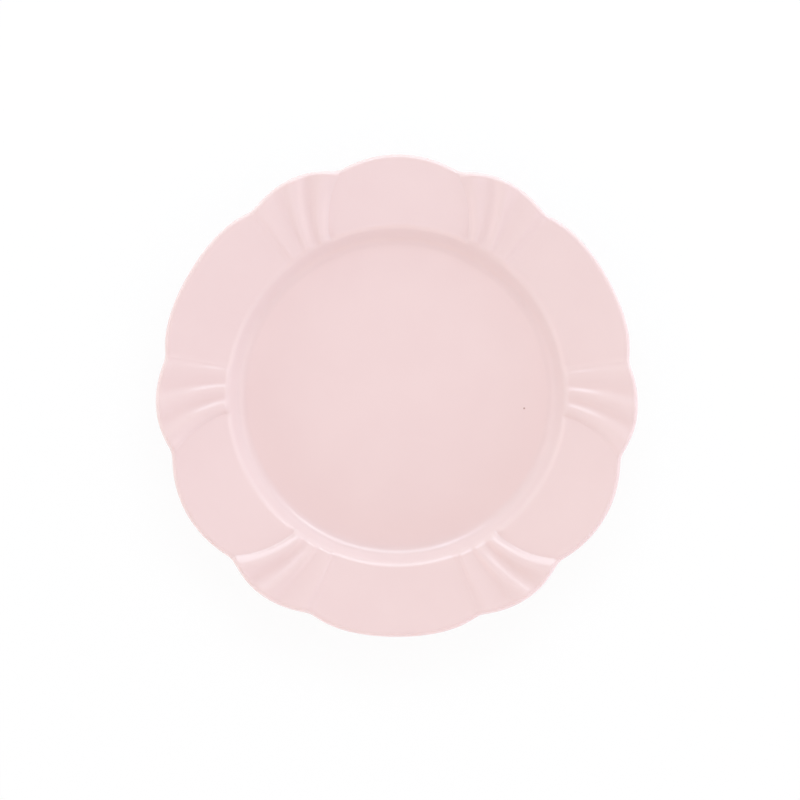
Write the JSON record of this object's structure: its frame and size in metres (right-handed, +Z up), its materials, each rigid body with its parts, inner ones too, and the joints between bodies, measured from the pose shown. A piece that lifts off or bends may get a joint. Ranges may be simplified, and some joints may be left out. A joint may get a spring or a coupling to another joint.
{
  "type": "scalloped dessert plate",
  "caption": "Round glazed porcelain dessert plate with a flat well, a sloping lobed rim, and fans of rounded reeds on the narrow lobes.",
  "frame": {"origin": "middle of the plane that the foot ring rests on", "axes": "+Z up, square to the well's floor; +Y toward the tip of a medium lobe; +X toward a fluted lobe"},
  "size_m": [0.2048, 0.205, 0.0197],
  "materials": {
    "fired_porcelain": "matte",
    "pink_glaze": "gloss"
  },
  "bodies": {
    "root": {"porcelain_body": "fired_porcelain", "glaze_coat": "pink_glaze", "recess_glaze": "pink_glaze"}
  },
  "joints": []
}
